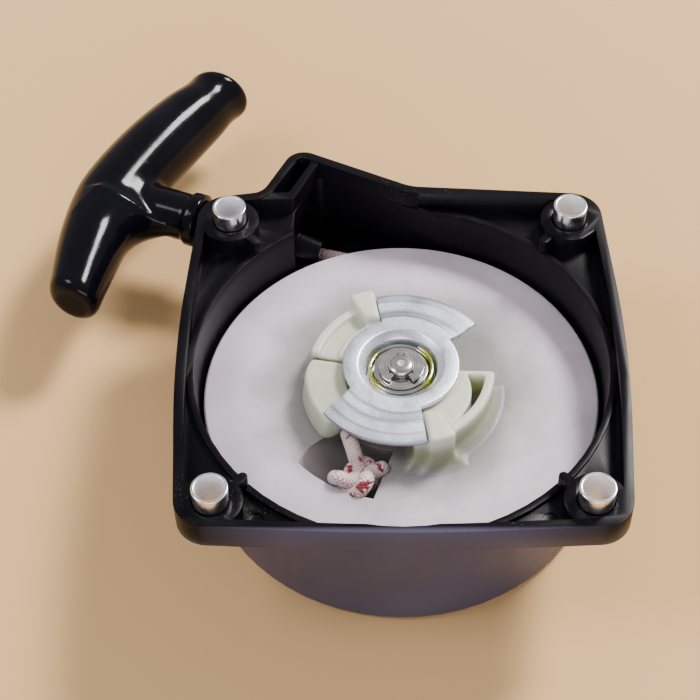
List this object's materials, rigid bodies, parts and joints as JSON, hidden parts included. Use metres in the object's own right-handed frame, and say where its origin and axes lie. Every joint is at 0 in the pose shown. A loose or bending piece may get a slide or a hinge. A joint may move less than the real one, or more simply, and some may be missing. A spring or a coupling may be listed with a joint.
{
  "type": "recoil starter",
  "caption": "Pull starter for a small engine: plastic housing with corner spacers, rope spool with pawl and guide plate, recoil spring, and a T-shaped pull handle on a rope.",
  "frame": {"origin": "on the spool's axis, at the outer face of the cup's floor", "axes": "+Z along the spool's axis toward the engine; +Y toward the side with the rope tower; the rope leaves toward -X and +Y"},
  "size_m": [0.1384, 0.1588, 0.044],
  "materials": {
    "black_plastic": "satin moulded",
    "gloss_black": "gloss",
    "white_nylon": "translucent nylon",
    "pawl_nylon": "translucent nylon",
    "spacer_metal": "polished",
    "zinc_plate": "bright zinc",
    "spring_wire": "greased wire",
    "spring_steel": "blued strip",
    "bright_steel": "bright turned",
    "case_steel": "pressed",
    "rope": "braided"
  },
  "bodies": {
    "housing": {"housing": "black_plastic", "spacer_front_left": "spacer_metal", "spacer_front_right": "spacer_metal", "spacer_back_right": "spacer_metal", "spacer_back_left": "spacer_metal", "centre_post": "bright_steel", "thrust_washer": "bright_steel", "e_clip": "bright_steel", "spring_case": "case_steel", "recoil_spring": "spring_steel"},
    "spool": {"spool": "white_nylon", "rope_coil": "rope", "spool_knot": "rope"},
    "plate": {"guide_plate": "zinc_plate", "friction_spring": "spring_wire"},
    "pawl": {"pawl": "pawl_nylon"},
    "handle": {"handle": "gloss_black", "rope_retainer": "case_steel", "handle_knot": "rope", "rope_run": "rope"}
  },
  "joints": [
    {"name": "spool_spin", "type": "hinge", "parent": "housing", "child": "spool", "pos_m": [0, 0, 0], "axis": [0, 0, 1], "range_deg": [0, 900], "stiffness_Nm_per_rad": 0.015, "springref_deg": -687.55, "deforming": ["recoil_spring", "rope_coil"]},
    {"name": "handle_pull", "type": "slide", "parent": "housing", "child": "handle", "axis": [-0.9354, 0.3535, 0], "range_m": [0, 0.6], "deforming": ["rope_run"]},
    {"name": "plate_turn", "type": "hinge", "parent": "spool", "child": "plate", "pos_m": [0, 0, 0.03], "axis": [0, 0, 1], "range_deg": [-20, 0]},
    {"name": "pawl_swing", "type": "hinge", "parent": "spool", "child": "pawl", "pos_m": [-0.0181, 0.006, 0.028], "axis": [0, 0, 1], "range_deg": [-12, 0]}
  ],
  "couplings": [
    {"joint": "handle_pull", "follows": "spool_spin", "m_per_rad": 0.0378},
    {"joint": "pawl_swing", "follows": "plate_turn", "ratio": 0.6}
  ]
}
